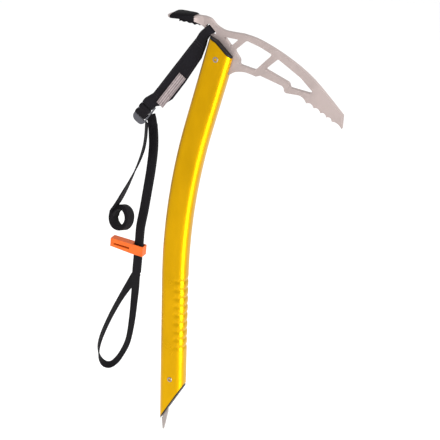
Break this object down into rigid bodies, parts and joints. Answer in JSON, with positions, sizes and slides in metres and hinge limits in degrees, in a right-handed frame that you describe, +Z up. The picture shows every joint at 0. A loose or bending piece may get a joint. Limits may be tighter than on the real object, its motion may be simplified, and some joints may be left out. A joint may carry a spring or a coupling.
{
  "type": "ice axe",
  "caption": "Ice axe with a bent alloy shaft, pierced toothed pick, padded adze, slanted foot with a spike, and a buckled wrist leash with a slider and rolled tail.",
  "frame": {"origin": "centre of the head rivet, on the shaft's middle plane", "axes": "+X towards the tip of the pick, +Y across the axe from its left side to its right when the pick points away, +Z up along the straight lower shaft"},
  "size_m": [0.2849, 0.0248, 0.5092],
  "materials": {
    "shaft": "satin anodised",
    "head": "matt blasted",
    "rivet": "bright",
    "spike": "bright",
    "plastic": "moulded",
    "webbing": "woven",
    "label": "satin woven",
    "buckle": "polished",
    "slider": "moulded"
  },
  "bodies": {
    "axe": {"shaft": "shaft", "head": "head", "head_plug": "plastic", "head_rivet": "rivet", "adze_pad_top": "plastic", "adze_pad_under": "plastic", "pad_screw_1": "rivet", "pad_screw_2": "rivet", "spike": "spike", "spike_plug": "plastic", "spike_rivet": "rivet"},
    "sling": {"sling": "webbing", "sling_label": "label"},
    "buckle": {"ladder_buckle": "buckle", "tape_in_buckle": "webbing"},
    "leash": {"tape_main": "webbing", "tape_return": "webbing", "wrist_loop": "webbing"},
    "tail": {"tape_tail": "webbing", "tail_roll": "webbing"},
    "slider": {"slider": "slider"}
  },
  "joints": [
    {"name": "sling_swing", "type": "hinge", "parent": "axe", "child": "sling", "pos_m": [-0.01172, 0, 0.02622], "axis": [0.7071, 0, -0.7071], "range_deg": [-50, 50]},
    {"name": "buckle_tilt", "type": "hinge", "parent": "sling", "child": "buckle", "pos_m": [-0.08045, 0, -0.06105], "axis": [0.809, 0, -0.5878], "range_deg": [-45, 45]},
    {"name": "leash_swing", "type": "hinge", "parent": "buckle", "child": "leash", "pos_m": [-0.08515, 0, -0.06752], "axis": [0.809, 0, -0.5878], "range_deg": [0, 60]},
    {"name": "tail_swing", "type": "hinge", "parent": "buckle", "child": "tail", "pos_m": [-0.08985, 0, -0.07399], "axis": [0.809, 0, -0.5878], "range_deg": [-60, 0]},
    {"name": "slider_slide", "type": "slide", "parent": "leash", "child": "slider", "axis": [0.0841, 0, 0.9965], "range_m": [-0.024, 0.008]}
  ]
}
